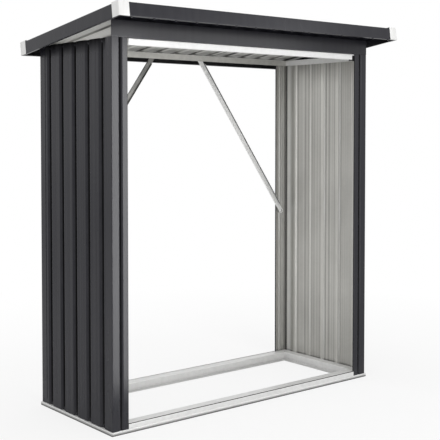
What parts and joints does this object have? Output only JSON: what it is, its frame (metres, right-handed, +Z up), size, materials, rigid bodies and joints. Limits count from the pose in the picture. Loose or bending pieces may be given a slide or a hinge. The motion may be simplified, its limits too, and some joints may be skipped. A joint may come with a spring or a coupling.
{
  "type": "log store",
  "caption": "Lean-to log store of folded sheet steel with corrugated side walls, open front and back, and a corrugated roof that falls to the rear.",
  "frame": {"origin": "on the ground, under the middle of the roof's outline", "axes": "+Z up, -Y out of the open front, +X to the right as seen from the front"},
  "size_m": [1.6992, 0.8522, 1.8292],
  "materials": {
    "painted_steel": "satin anthracite coating, zinc grey on the inner face",
    "galvanised_steel": "bright galvanised",
    "white_plastic": "moulded white"
  },
  "bodies": {
    "root": {"post_front_left": "painted_steel", "post_front_right": "painted_steel", "post_rear_left": "painted_steel", "post_rear_right": "painted_steel", "wall_left": "painted_steel", "wall_right": "painted_steel", "front_header": "painted_steel", "roof_sheet_left": "painted_steel", "roof_sheet_middle": "painted_steel", "roof_sheet_right": "painted_steel", "roof_trim_front": "painted_steel", "roof_trim_rear": "painted_steel", "roof_trim_left": "painted_steel", "roof_trim_right": "painted_steel", "base_rail_front": "galvanised_steel", "base_rail_rear": "galvanised_steel", "base_rail_left": "galvanised_steel", "base_rail_right": "galvanised_steel", "top_rail_front": "galvanised_steel", "top_rail_rear": "galvanised_steel", "top_rail_left": "galvanised_steel", "top_rail_right": "galvanised_steel", "brace_left": "galvanised_steel", "brace_right": "galvanised_steel", "roof_cap_front_left": "white_plastic", "roof_cap_front_right": "white_plastic", "roof_cap_rear_left": "white_plastic", "roof_cap_rear_right": "white_plastic"}
  },
  "joints": []
}
